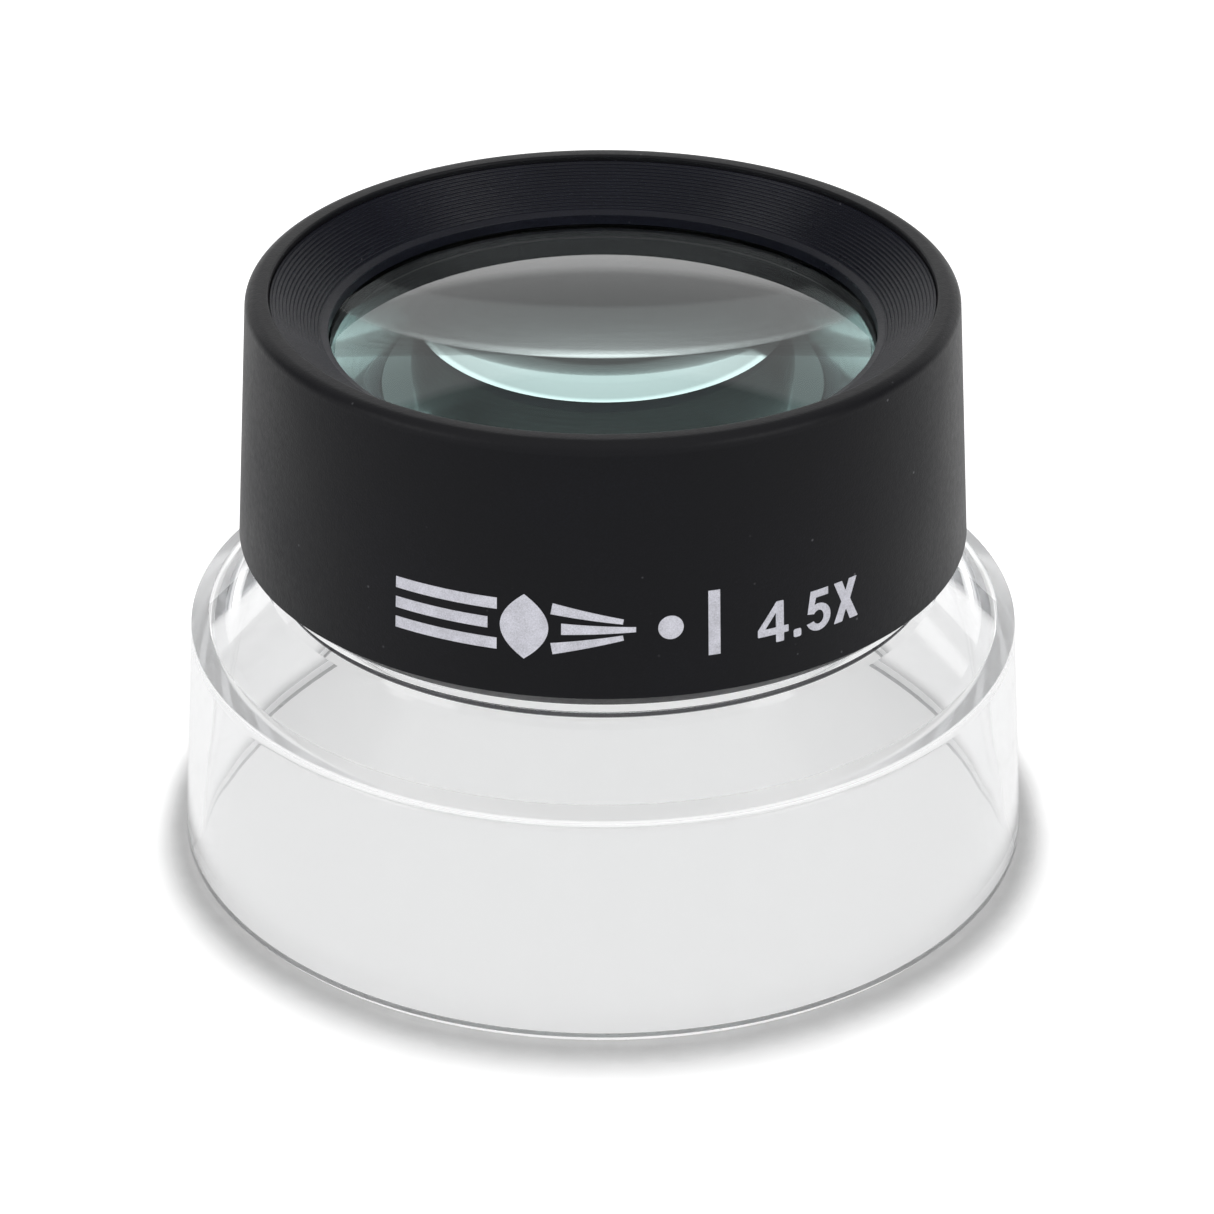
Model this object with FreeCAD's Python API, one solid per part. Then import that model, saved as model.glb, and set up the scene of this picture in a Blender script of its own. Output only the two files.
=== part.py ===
import FreeCAD, Part
import math
import os

# Stand loupe: a black lens head that screws up and down on the threaded neck of a clear skirt.
# All sizes in mm. +Z is up and is the optical axis. The origin is on the axis, at the foot.

# ---- clear stand -------------------------------------------------------------------------
FOOT_RADIUS = 43.6          # outer radius of the skirt at the table
FOOT_CHAMFER = 0.8
SKIRT_TOP_RADIUS = 41.9     # where the skirt's outer wall ends
SKIRT_TOP_HEIGHT = 24.1
BEVEL_RADIUS = 40.1         # inner edge of the flat bevel round the skirt's top
BEVEL_HEIGHT = 24.8
SHOULDER_HEIGHT = 30.4      # where the sloping shoulder meets the neck
WALL = 3.0                  # thickness of the skirt and the shoulder
NECK_INNER_RADIUS = 31.2
NECK_TOP = 45.0
NECK_CHAMFER = 0.4
INNER_ROUND = 1.5           # moulding radius inside, under the shoulder

# ---- focusing thread, its turns simplified to rings ---------------------------------------
NECK_RADIUS = 34.05         # plain land at the neck's foot, and the crests of the thread
LAND_TOP = 33.0
THREAD_DEPTH = 0.5
THREAD_PITCH = 1.5
THREAD_BASE_WIDTH = 0.9
THREAD_CREST_WIDTH = 0.4
THREAD_FIRST = 33.85        # height of the lowest turn
THREAD_TURNS = 7
THREAD_CLEARANCE = 0.10     # radial, between the turns and the hood's bore

# ---- hood ----------------------------------------------------------------------------------
OVERALL_HEIGHT = 59.9
RIM_RADIUS = 35.0           # outer radius at the rim, before it is rounded
RIM_ROUND = 1.2
RIM_INNER_ROUND = 0.25
RIM_INNER_RADIUS = 32.7
HOOD_FOOT_RADIUS = 36.6     # outer radius above the bottom chamfer
HOOD_FOOT_HEIGHT = 34.2
HOOD_BOTTOM = 32.3
HOOD_BOTTOM_RADIUS = 34.4   # outer radius below the bottom chamfer
LEDGE_BOTTOM = 51.4         # inner ledge: the baffle lies on it, the cell's flange is below it
LEDGE_TOP = 54.5
BODY_GAP = 0.15             # between pieces that move past each other
SEAT_GAP = 0.05             # between pieces that are fixed together

# ---- front baffle --------------------------------------------------------------------------
BAFFLE_TOP = 59.3
CONE_TOP_RADIUS = 32.4
CONE_BOTTOM_RADIUS = 27.7
CONE_BOTTOM_HEIGHT = 55.9
LIP_RADIUS = 27.0           # clear aperture
LIP_HEIGHT = 55.6
GROOVES = 14
GROOVE_DEPTH = 0.14

# ---- lenses --------------------------------------------------------------------------------
LENS_RADIUS = 29.0          # half of the glass diameter
UPPER_LENS_TOP = 57.8       # highest point of the upper lens
UPPER_FRONT_CURVE = 106.0   # spherical radius of its upper face
UPPER_BACK_CURVE = 180.0    # spherical radius of its lower face
UPPER_EDGE = 2.5            # its thickness at the rim
LOWER_LENS_TOP = 46.0       # highest point of the lower lens, whose lower face is flat
LOWER_FRONT_CURVE = 46.7
LOWER_EDGE = 1.2

# ---- lens cell, spacer and retaining ring ---------------------------------------------------
CELL_OUTER_RADIUS = 30.6
CELL_TOP = 54.35
CELL_LIP_RADIUS = 28.2
FLANGE_RADIUS = 33.9
FLANGE_THICKNESS = 2.0
SPACER_INNER_RADIUS = 27.4
RING_INNER_RADIUS = 26.8
RING_THICKNESS = 2.4
RING_RECESS = 0.4           # depth of the ring inside the cell's lower end
NOTCH_WIDTH = 3.0
NOTCH_DEPTH = 1.1

# ---- derived -------------------------------------------------------------------------------
THREAD_ROOT_RADIUS = NECK_RADIUS - THREAD_DEPTH
HOOD_BORE_RADIUS = NECK_RADIUS + THREAD_CLEARANCE
CELL_BORE_RADIUS = LENS_RADIUS + SEAT_GAP


def sagitta(curve, radius):
    """Drop of a spherical face from its pole to this radius."""
    return curve - math.sqrt(curve**2 - radius**2)


UPPER_RIM_TOP = UPPER_LENS_TOP - sagitta(UPPER_FRONT_CURVE, LENS_RADIUS)
UPPER_RIM_BOTTOM = UPPER_RIM_TOP - UPPER_EDGE
UPPER_LENS_BOTTOM = UPPER_RIM_BOTTOM - sagitta(UPPER_BACK_CURVE, LENS_RADIUS)
LOWER_RIM_TOP = LOWER_LENS_TOP - sagitta(LOWER_FRONT_CURVE, LENS_RADIUS)
LOWER_LENS_BOTTOM = LOWER_RIM_TOP - LOWER_EDGE
RING_TOP = LOWER_LENS_BOTTOM - SEAT_GAP
CELL_BOTTOM = RING_TOP - RING_THICKNESS - RING_RECESS


def point(radius, height):
    return FreeCAD.Vector(radius, 0, height)


def rounded_wire(corners):
    """Closed outline through (radius, height) corners; a third value rounds that corner."""
    spots = [point(c[0], c[1]) for c in corners]
    rounds = [c[2] if len(c) > 2 else 0.0 for c in corners]
    count = len(corners)
    starts = []
    ends = []
    arcs = []
    for i in range(count):
        here = spots[i]
        back = (spots[i - 1] - here).normalize()
        ahead = (spots[(i + 1) % count] - here).normalize()
        if rounds[i] == 0.0:
            starts.append(here)
            ends.append(here)
            arcs.append(None)
            continue
        half = back.getAngle(ahead) / 2
        reach = rounds[i] / math.tan(half)
        middle = (back + ahead).normalize()
        centre = here + middle * (rounds[i] / math.sin(half))
        starts.append(here + back * reach)
        ends.append(here + ahead * reach)
        arcs.append(centre - middle * rounds[i])
    edges = []
    for i in range(count):
        if arcs[i] is not None:
            edges.append(Part.Arc(starts[i], arcs[i], ends[i]).toShape())
        following = starts[(i + 1) % count]
        if ends[i].distanceToPoint(following) > 1e-6:
            edges.append(Part.LineSegment(ends[i], following).toShape())
    return Part.Wire(edges)


def turned(wire):
    """Solid of revolution of a closed outline about the optical axis."""
    return Part.Face(wire).revolve(FreeCAD.Vector(0, 0, 0), FreeCAD.Vector(0, 0, 1), 360)


def thread_corners():
    """Outline of the thread's turns, from the lowest up."""
    corners = []
    for turn in range(THREAD_TURNS):
        middle = THREAD_FIRST + turn * THREAD_PITCH
        corners.append((THREAD_ROOT_RADIUS, middle - THREAD_BASE_WIDTH / 2))
        corners.append((NECK_RADIUS, middle - THREAD_CREST_WIDTH / 2))
        corners.append((NECK_RADIUS, middle + THREAD_CREST_WIDTH / 2))
        corners.append((THREAD_ROOT_RADIUS, middle + THREAD_BASE_WIDTH / 2))
    return corners


def make_clear_stand():
    """Skirt, bevel, sloping shoulder, plain land and threaded neck, over a matching hollow."""
    slope = (SHOULDER_HEIGHT - BEVEL_HEIGHT) / (BEVEL_RADIUS - NECK_RADIUS)
    inner_top_radius = SKIRT_TOP_RADIUS - WALL
    shoulder_above = BEVEL_HEIGHT + (BEVEL_RADIUS - inner_top_radius) * slope
    inner_top = shoulder_above - WALL * math.hypot(1, slope)
    inner_neck_foot = inner_top + (inner_top_radius - NECK_INNER_RADIUS) * slope
    chamfer_taper = FOOT_CHAMFER * (FOOT_RADIUS - SKIRT_TOP_RADIUS) / SKIRT_TOP_HEIGHT
    corners = [
        (FOOT_RADIUS - FOOT_CHAMFER, 0),
        (FOOT_RADIUS - chamfer_taper, FOOT_CHAMFER),
        (SKIRT_TOP_RADIUS, SKIRT_TOP_HEIGHT),
        (BEVEL_RADIUS, BEVEL_HEIGHT),
        (NECK_RADIUS, SHOULDER_HEIGHT),
        (NECK_RADIUS, LAND_TOP),
        (THREAD_ROOT_RADIUS, LAND_TOP + THREAD_DEPTH / 2),
    ]
    corners += thread_corners()
    corners += [
        (THREAD_ROOT_RADIUS, NECK_TOP - NECK_CHAMFER),
        (THREAD_ROOT_RADIUS - NECK_CHAMFER, NECK_TOP),
        (NECK_INNER_RADIUS, NECK_TOP),
        (NECK_INNER_RADIUS, inner_neck_foot, INNER_ROUND),
        (inner_top_radius, inner_top, INNER_ROUND),
        (FOOT_RADIUS - WALL, 0),
    ]
    return turned(rounded_wire(corners))


def make_hood():
    """Tapered housing with a rounded rim, an inner ledge and the bore that runs on the neck."""
    ledge_radius = CELL_OUTER_RADIUS + BODY_GAP
    return turned(rounded_wire([
        (HOOD_BORE_RADIUS, HOOD_BOTTOM),
        (HOOD_BOTTOM_RADIUS, HOOD_BOTTOM),
        (HOOD_FOOT_RADIUS, HOOD_FOOT_HEIGHT),
        (RIM_RADIUS, OVERALL_HEIGHT, RIM_ROUND),
        (RIM_INNER_RADIUS, OVERALL_HEIGHT, RIM_INNER_ROUND),
        (RIM_INNER_RADIUS, LEDGE_TOP),
        (ledge_radius, LEDGE_TOP),
        (ledge_radius, LEDGE_BOTTOM),
        (HOOD_BORE_RADIUS, LEDGE_BOTTOM),
    ]))


def make_front_baffle():
    """Ring whose cone leads down to the lens, with V grooves all the way down the cone."""
    outer = RIM_INNER_RADIUS - SEAT_GAP
    run = CONE_TOP_RADIUS - CONE_BOTTOM_RADIUS
    drop = BAFFLE_TOP - CONE_BOTTOM_HEIGHT
    length = math.hypot(run, drop)
    corners = [
        (LIP_RADIUS, LEDGE_TOP + SEAT_GAP),
        (outer, LEDGE_TOP + SEAT_GAP),
        (outer, BAFFLE_TOP),
    ]
    for groove in range(GROOVES):
        for part, depth in ((0.0, 0.0), (0.5, GROOVE_DEPTH)):
            along = (groove + part) / GROOVES
            corners.append((
                CONE_TOP_RADIUS - run * along + depth * drop / length,
                BAFFLE_TOP - drop * along - depth * run / length,
            ))
    corners += [
        (CONE_BOTTOM_RADIUS, CONE_BOTTOM_HEIGHT),
        (LIP_RADIUS, LIP_HEIGHT),
    ]
    return turned(rounded_wire(corners))


def spherical_edge(curve, pole, rim):
    """Arc of a lens face from its pole on the axis to its rim, bulging away from the rim."""
    half = LENS_RADIUS / 2
    bulge = math.copysign(sagitta(curve, half), rim - pole)
    return Part.Arc(point(0, pole), point(half, pole + bulge), point(LENS_RADIUS, rim)).toShape()


def make_upper_lens():
    """Biconvex lens, its upper face the stronger."""
    return turned(Part.Wire([
        spherical_edge(UPPER_FRONT_CURVE, UPPER_LENS_TOP, UPPER_RIM_TOP),
        Part.LineSegment(
            point(LENS_RADIUS, UPPER_RIM_TOP), point(LENS_RADIUS, UPPER_RIM_BOTTOM)).toShape(),
        spherical_edge(UPPER_BACK_CURVE, UPPER_LENS_BOTTOM, UPPER_RIM_BOTTOM),
        Part.LineSegment(point(0, UPPER_LENS_BOTTOM), point(0, UPPER_LENS_TOP)).toShape(),
    ]))


def make_lower_lens():
    """Plano-convex lens, its flat face towards the page."""
    return turned(Part.Wire([
        spherical_edge(LOWER_FRONT_CURVE, LOWER_LENS_TOP, LOWER_RIM_TOP),
        Part.LineSegment(
            point(LENS_RADIUS, LOWER_RIM_TOP), point(LENS_RADIUS, LOWER_LENS_BOTTOM)).toShape(),
        Part.LineSegment(
            point(LENS_RADIUS, LOWER_LENS_BOTTOM), point(0, LOWER_LENS_BOTTOM)).toShape(),
        Part.LineSegment(point(0, LOWER_LENS_BOTTOM), point(0, LOWER_LENS_TOP)).toShape(),
    ]))


def make_lens_cell():
    """Sleeve round the lenses: a lip above the upper lens and a flange below the hood's ledge."""
    flange_top = LEDGE_BOTTOM - BODY_GAP
    flange_bottom = flange_top - FLANGE_THICKNESS
    lip_bottom = UPPER_LENS_TOP - sagitta(UPPER_FRONT_CURVE, CELL_LIP_RADIUS) + SEAT_GAP
    return turned(rounded_wire([
        (CELL_BORE_RADIUS, CELL_BOTTOM),
        (CELL_OUTER_RADIUS, CELL_BOTTOM, 0.3),
        (CELL_OUTER_RADIUS, flange_bottom),
        (FLANGE_RADIUS, flange_bottom, 0.3),
        (FLANGE_RADIUS, flange_top, 0.3),
        (CELL_OUTER_RADIUS, flange_top),
        (CELL_OUTER_RADIUS, CELL_TOP),
        (CELL_LIP_RADIUS, CELL_TOP),
        (CELL_LIP_RADIUS, lip_bottom),
        (CELL_BORE_RADIUS, lip_bottom),
    ]))


def make_lens_spacer():
    """Tube between the lenses; each end touches a lens on its inner edge."""
    top = UPPER_LENS_BOTTOM + sagitta(UPPER_BACK_CURVE, SPACER_INNER_RADIUS) - SEAT_GAP
    bottom = LOWER_LENS_TOP - sagitta(LOWER_FRONT_CURVE, SPACER_INNER_RADIUS) + SEAT_GAP
    return turned(rounded_wire([
        (SPACER_INNER_RADIUS, bottom),
        (LENS_RADIUS, bottom),
        (LENS_RADIUS, top),
        (SPACER_INNER_RADIUS, top),
    ]))


def make_retaining_ring():
    """Threaded ring under the lower lens, with two spanner notches across its lower face."""
    bottom = RING_TOP - RING_THICKNESS
    ring = turned(rounded_wire([
        (RING_INNER_RADIUS, bottom, 0.2),
        (LENS_RADIUS, bottom),
        (LENS_RADIUS, RING_TOP),
        (RING_INNER_RADIUS, RING_TOP),
    ]))
    corner = FreeCAD.Vector(-LENS_RADIUS - 1, -NOTCH_WIDTH / 2, bottom - 1)
    notches = Part.makeBox(2 * LENS_RADIUS + 2, NOTCH_WIDTH, NOTCH_DEPTH + 1, corner)
    return ring.cut(notches).Solids[0]


def main():
    os.makedirs("parts", exist_ok=True)
    nodes = {
        "clear_stand": make_clear_stand(),
        "hood": make_hood(),
        "front_baffle": make_front_baffle(),
        "upper_lens": make_upper_lens(),
        "lens_spacer": make_lens_spacer(),
        "lower_lens": make_lower_lens(),
        "lens_cell": make_lens_cell(),
        "retaining_ring": make_retaining_ring(),
    }
    for name, shape in nodes.items():
        if shape.Volume < 0:
            shape.reverse()
        shape.exportStep("parts/" + name + ".step")
        box = shape.BoundBox
        print(f"{name}: {shape.ShapeType}, valid {shape.isValid()}, {shape.Volume / 1000:.2f} cm3,"
              f" z {box.ZMin:.2f} to {box.ZMax:.2f}, r {box.XMax:.2f}")


main()
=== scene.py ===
import math

import bmesh
import bpy
import numpy as np
from bpy.props import FloatProperty, FloatVectorProperty, IntProperty, PointerProperty
from bpy.types import Operator, Panel, PropertyGroup
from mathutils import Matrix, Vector


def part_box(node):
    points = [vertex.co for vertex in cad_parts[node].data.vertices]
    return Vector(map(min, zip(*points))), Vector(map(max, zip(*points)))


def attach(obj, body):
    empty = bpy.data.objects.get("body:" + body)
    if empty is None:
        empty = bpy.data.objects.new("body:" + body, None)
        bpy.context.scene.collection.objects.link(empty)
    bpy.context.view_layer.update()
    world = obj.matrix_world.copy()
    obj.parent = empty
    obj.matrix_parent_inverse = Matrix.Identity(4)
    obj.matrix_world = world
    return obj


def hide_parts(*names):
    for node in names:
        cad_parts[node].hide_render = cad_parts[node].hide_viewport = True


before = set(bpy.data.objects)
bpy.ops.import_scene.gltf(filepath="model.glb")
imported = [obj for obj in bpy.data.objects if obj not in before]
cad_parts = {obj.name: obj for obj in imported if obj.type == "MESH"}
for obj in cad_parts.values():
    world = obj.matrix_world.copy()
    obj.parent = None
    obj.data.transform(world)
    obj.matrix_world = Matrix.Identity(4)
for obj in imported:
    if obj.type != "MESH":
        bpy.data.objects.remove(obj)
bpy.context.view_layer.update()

bl_info = {
    "name": "Stand loupe",
    "version": (1, 0, 0),
    "blender": (4, 5, 0),
    "location": "View3D > Sidebar > Loupe",
    "description": "Builds a clear-skirted stand loupe, its print, its materials and a plain studio",
    "category": "Add Mesh",
}

MM = 0.001


def length(name, description, millimetres):
    """A size property: its default is given in millimetres and it is kept in metres."""
    return FloatProperty(
        name=name, description=description, default=millimetres * MM, unit="LENGTH", precision=5)


def colour(name, description, value):
    """A colour property without alpha."""
    return FloatVectorProperty(
        name=name, description=description, default=value, size=3, subtype="COLOR", min=0, max=1)


def factor(name, description, value):
    """A plain number property."""
    return FloatProperty(name=name, description=description, default=value)


# ---- sizes and colours that a user would change ---------------------------------------------

class StandSizes(PropertyGroup):
    """Clear skirt, shoulder and neck."""
    foot_radius: length("Foot radius", "Outer radius of the skirt at the table", 43.6)
    foot_chamfer: length("Foot chamfer", "Size of the chamfer round the foot", 0.8)
    skirt_top_radius: length("Skirt top radius", "Outer radius at the top of the skirt", 41.9)
    skirt_top_height: length("Skirt top height", "Height at which the skirt's wall ends", 24.1)
    bevel_radius: length("Bevel radius", "Inner radius of the bevel round the skirt's top", 40.1)
    bevel_height: length("Bevel height", "Height of the bevel's inner edge", 24.8)
    shoulder_height: length("Shoulder height", "Height where the shoulder meets the neck", 30.4)
    wall: length("Wall", "Thickness of the skirt and the shoulder", 3.0)
    neck_radius: length("Neck radius", "Plain land of the neck, and the crests of its thread", 34.05)
    neck_inner_radius: length("Neck bore", "Inner radius of the neck", 31.2)
    relief: length("Relief groove", "Depth of the groove round the foot of the neck", 0.8)
    relief_rise: length("Relief rise", "Height of the groove's bottom over the shoulder", 0.2)
    line_rise: length("Line rise", "Height of the fine line of the neck over the shoulder", 1.45)
    line_width: length("Line width", "Width of the fine line", 0.3)
    line_depth: length("Line depth", "Depth of the fine line", 0.2)
    land_top: length("Land top", "Height at which the thread starts", 33.0)
    thread_depth: length("Thread depth", "Radial depth of the thread", 0.5)
    thread_pitch: length("Thread pitch", "Distance between turns of the two-start thread", 1.5)
    thread_runout: length("Thread run-out", "Height over which the thread fades in or out", 0.7)
    neck_chamfer: length("Neck chamfer", "Size of the chamfer at the top of the neck", 0.4)
    edge_round: length("Edge round", "Rounding of the moulded edges", 0.12)
    inner_round: length("Inner round", "Moulding radius inside, under the shoulder", 1.5)


class HoodSizes(PropertyGroup):
    """Black housing and its grooved front baffle."""
    bore_radius: length("Bore radius", "Radius of the bore that runs on the neck", 34.15)
    bottom_radius: length("Bottom radius", "Outer radius below the bottom chamfer", 34.4)
    foot_radius: length("Chamfer radius", "Outer radius above the bottom chamfer", 36.6)
    foot_height: length("Chamfer height", "Height of the top of the bottom chamfer", 34.2)
    rim_radius: length("Rim radius", "Outer radius at the rim, before it is rounded", 35.0)
    rim_round: length("Rim round", "Rounding of the rim's outer edge", 1.2)
    rim_inner_round: length("Rim inner round", "Rounding of the rim's inner edge", 0.25)
    edge_round: length("Edge round", "Rounding of the chamfer's edges", 0.15)
    ledge_width: length("Ledge width", "Width of the inner ledge that carries the baffle", 3.4)
    ledge_bottom: length("Ledge bottom", "Height of the underside of the inner ledge", 51.4)
    seat_gap: length("Seat gap", "Clearance round and under the baffle", 0.05)
    cone_top_radius: length("Cone top radius", "Outer radius of the grooved cone", 32.4)
    cone_bottom_radius: length("Cone bottom radius", "Inner radius of the grooved cone", 27.7)
    cone_bottom_height: length("Cone bottom height", "Height of the cone's inner edge", 55.9)
    lip_height: length("Lip height", "Height of the lip beside the lens", 55.6)
    lip_radius: length("Lip radius", "Clear aperture in front of the lens", 27.0)
    groove_depth: length("Groove depth", "Depth of the grooves of the cone", 0.14)
    grooves: IntProperty(name="Grooves", description="Number of grooves", default=14, min=1)


class LensSizes(PropertyGroup):
    """The two lenses. Their poles and rims come from the CAD parts in model.glb."""
    upper_front_curve: length("Upper front curve", "Radius of the upper lens's upper face", 106)
    upper_back_curve: length("Upper back curve", "Radius of the upper lens's lower face", 180)
    lower_front_curve: length("Lower front curve", "Radius of the lower lens's upper face", 46.7)
    rim_bevel: length("Rim bevel", "Ground bevel round each lens", 0.15)


class PrintSizes(PropertyGroup):
    """Silver print on the front of the hood: a ray diagram and the magnification."""
    diagram_width: length("Diagram width", "Width of the ray diagram along the wall", 31.5)
    diagram_height: length("Diagram height", "Height of the ray diagram", 6.6)
    diagram_middle: FloatProperty(
        name="Diagram angle", description="Where the diagram's middle is, from the front",
        default=math.radians(-7.4), subtype="ANGLE")
    diagram_level: length("Diagram level", "Height of the diagram's middle line", 41.3)
    number_height: length("Number height", "Height of the figures", 4.2)
    number_middle: FloatProperty(
        name="Number angle", description="Where the number's middle is, from the front",
        default=math.radians(32.5), subtype="ANGLE")
    number_level: length("Number level", "Height of the figures' middle line", 40.1)
    ink: length("Ink thickness", "How far the print stands out", 0.03)
    stroke: length("Stroke", "Width of the diagram's bars", 1.15)
    lens_width: length("Lens width", "Width of the diagram's lens", 4.6)
    focus_radius: length("Focus radius", "Radius of the diagram's focus dot", 1.2)


class Finishes(PropertyGroup):
    """Colours of the finishes."""
    acrylic: colour("Acrylic", "Tint of the clear skirt, deep in the wall", (0.80, 0.85, 0.93))
    glass: colour("Glass", "Tint of the lens glass, deep in the lens", (0.55, 0.93, 0.90))
    hood_black: colour("Hood black", "Moulded black of the hood", (0.0021, 0.0023, 0.0040))
    inner_black: colour("Inner black", "Dull black inside the head", (0.006, 0.006, 0.006))
    silver: colour("Silver", "Silver print", (0.58, 0.58, 0.64))


class StageSettings(PropertyGroup):
    """Floor, lights and camera."""
    camera_distance: length("Camera distance", "From the camera to the point it looks at", 420)
    camera_height: FloatProperty(
        name="Camera elevation", description="How far the camera looks down",
        default=math.radians(28.89), subtype="ANGLE")
    aim_height: length("Aim height", "Height of the point that the camera looks at", 23.8)
    aim_side: length("Aim side", "Sideways place of the point that the camera looks at", 0.4)
    focal_length: factor("Focal length", "Camera focal length in millimetres", 121.9)
    floor_size: length("Floor size", "Half the width of the floor", 3000)
    floor_gap: length("Floor gap", "How far the floor is under the foot", 0.02)
    floor_glow: factor("Floor glow", "Light that the floor gives by itself", 0.57)
    floor_lift: factor("Floor lift", "Extra light of the floor where it is seen directly", 0.29)
    tent: factor("Tent", "Brightness of the soft tent on the camera's side", 0.75)
    tent_turn: FloatProperty(
        name="Tent turn", description="How far the tent is turned about the loupe",
        default=math.radians(5), subtype="ANGLE")
    key: factor("Key light", "Brightness of the soft boxes at the front's sides", 3.0)
    overhead: factor("Overhead light", "Brightness of the soft light overhead", 0.75)
    behind: factor("Light behind", "Brightness of the panel behind the loupe", 0.80)


# ---- surfaces --------------------------------------------------------------------------------

TURNS = 320                         # facets round a turned piece
ARC_STEP = math.radians(9)          # longest step along a rounded corner
ROWS_A_TURN = 15                    # rows of facets across one pitch of the thread
SMOOTH_ANGLE = math.radians(28)     # edges sharper than this are shown sharp
STRIP = 0.6 * MM                    # widest strip of print that stays flat on the round wall
PRINT_GAP = 0.002 * MM              # between the wall and the print's underside


def rounded_outline(corners):
    """Closed (radius, height) outline through corners; a third value rounds that corner.

    A rounded corner is an arc tangent to both sides: centre = corner + bisector * round / sin(half
    the corner's angle), sampled at equal angles.
    """
    spots = np.array([corner[:2] for corner in corners], float)
    rounds = [corner[2] if len(corner) > 2 else 0.0 for corner in corners]
    points = []
    for i, spot in enumerate(spots):
        if rounds[i] == 0.0:
            points.append(spot)
            continue
        back = spots[i - 1] - spot
        ahead = spots[(i + 1) % len(spots)] - spot
        back = back / np.hypot(*back)
        ahead = ahead / np.hypot(*ahead)
        half = math.acos(np.clip(back @ ahead, -1, 1)) / 2
        bisector = (back + ahead) / np.hypot(*(back + ahead))
        centre = spot + bisector * rounds[i] / math.sin(half)
        sweep = math.pi - 2 * half
        steps = max(2, math.ceil(sweep / ARC_STEP))
        side = np.sign(back[0] * ahead[1] - back[1] * ahead[0])
        turn = np.linspace(-sweep / 2, sweep / 2, steps + 1) * -side
        cosine, sine = np.cos(turn)[:, None], np.sin(turn)[:, None]
        across = np.array([-bisector[1], bisector[0]])
        points.extend(centre - rounds[i] * (bisector * cosine + across * sine))
    return np.array(points)


def mesh_object(name, points, faces):
    """A mesh object at the origin, from arrays of points and of faces, with doubles merged."""
    mesh = bpy.data.meshes.new(name)
    mesh.from_pydata(points.reshape(-1, 3), [], faces)
    work = bmesh.new()
    work.from_mesh(mesh)
    bmesh.ops.remove_doubles(work, verts=work.verts, dist=1e-7)
    if work.calc_volume(signed=True) < 0:
        bmesh.ops.reverse_faces(work, faces=work.faces)
    work.to_mesh(mesh)
    work.free()
    mesh.polygons.foreach_set("use_smooth", np.ones(len(mesh.polygons), bool))
    mesh.set_sharp_from_angle(angle=SMOOTH_ANGLE)
    piece = bpy.data.objects.new(name, mesh)
    bpy.context.scene.collection.objects.link(piece)
    return piece


def lathe(name, outline, ripple=None):
    """Surface of revolution of a closed outline about +Z.

    Point (i, j) = (r cos a, r sin a, z) with angle a = 2 pi i / TURNS and (r, z) = outline[j];
    ripple(a, r, z), where given, returns the radius to use instead of r.
    """
    angle = np.linspace(0, 2 * math.pi, TURNS, endpoint=False)[:, None]
    radius = np.broadcast_to(outline[:, 0], (TURNS, len(outline)))
    height = np.broadcast_to(outline[:, 1], (TURNS, len(outline)))
    if ripple is not None:
        radius = ripple(angle, radius, height)
    grid = np.stack([radius * np.cos(angle), radius * np.sin(angle), height], axis=2)
    index = np.arange(TURNS * len(outline)).reshape(TURNS, len(outline))
    after = np.roll(index, -1, axis=0)
    faces = np.stack([index, after, np.roll(after, -1, axis=1), np.roll(index, -1, axis=1)], axis=2)
    on_axis = (outline[:, 0] < 1e-9) & (np.roll(outline[:, 0], -1) < 1e-9)
    faces = faces[:, ~on_axis]
    return mesh_object(name, grid, faces.reshape(-1, 4).tolist())


def vectors(items, name):
    """One vector of each vertex or polygon of a mesh, as an array of rows."""
    values = np.zeros(len(items) * 3)
    items.foreach_get(name, values)
    return values.reshape(-1, 3)


def finish_piece(piece, body, material, node=None):
    """Gives a piece its material and body, and hides the CAD node it stands for."""
    piece.data.materials.clear()
    piece.data.materials.append(material)
    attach(piece, body)
    if node:
        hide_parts(node)


# ---- materials -------------------------------------------------------------------------------

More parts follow.
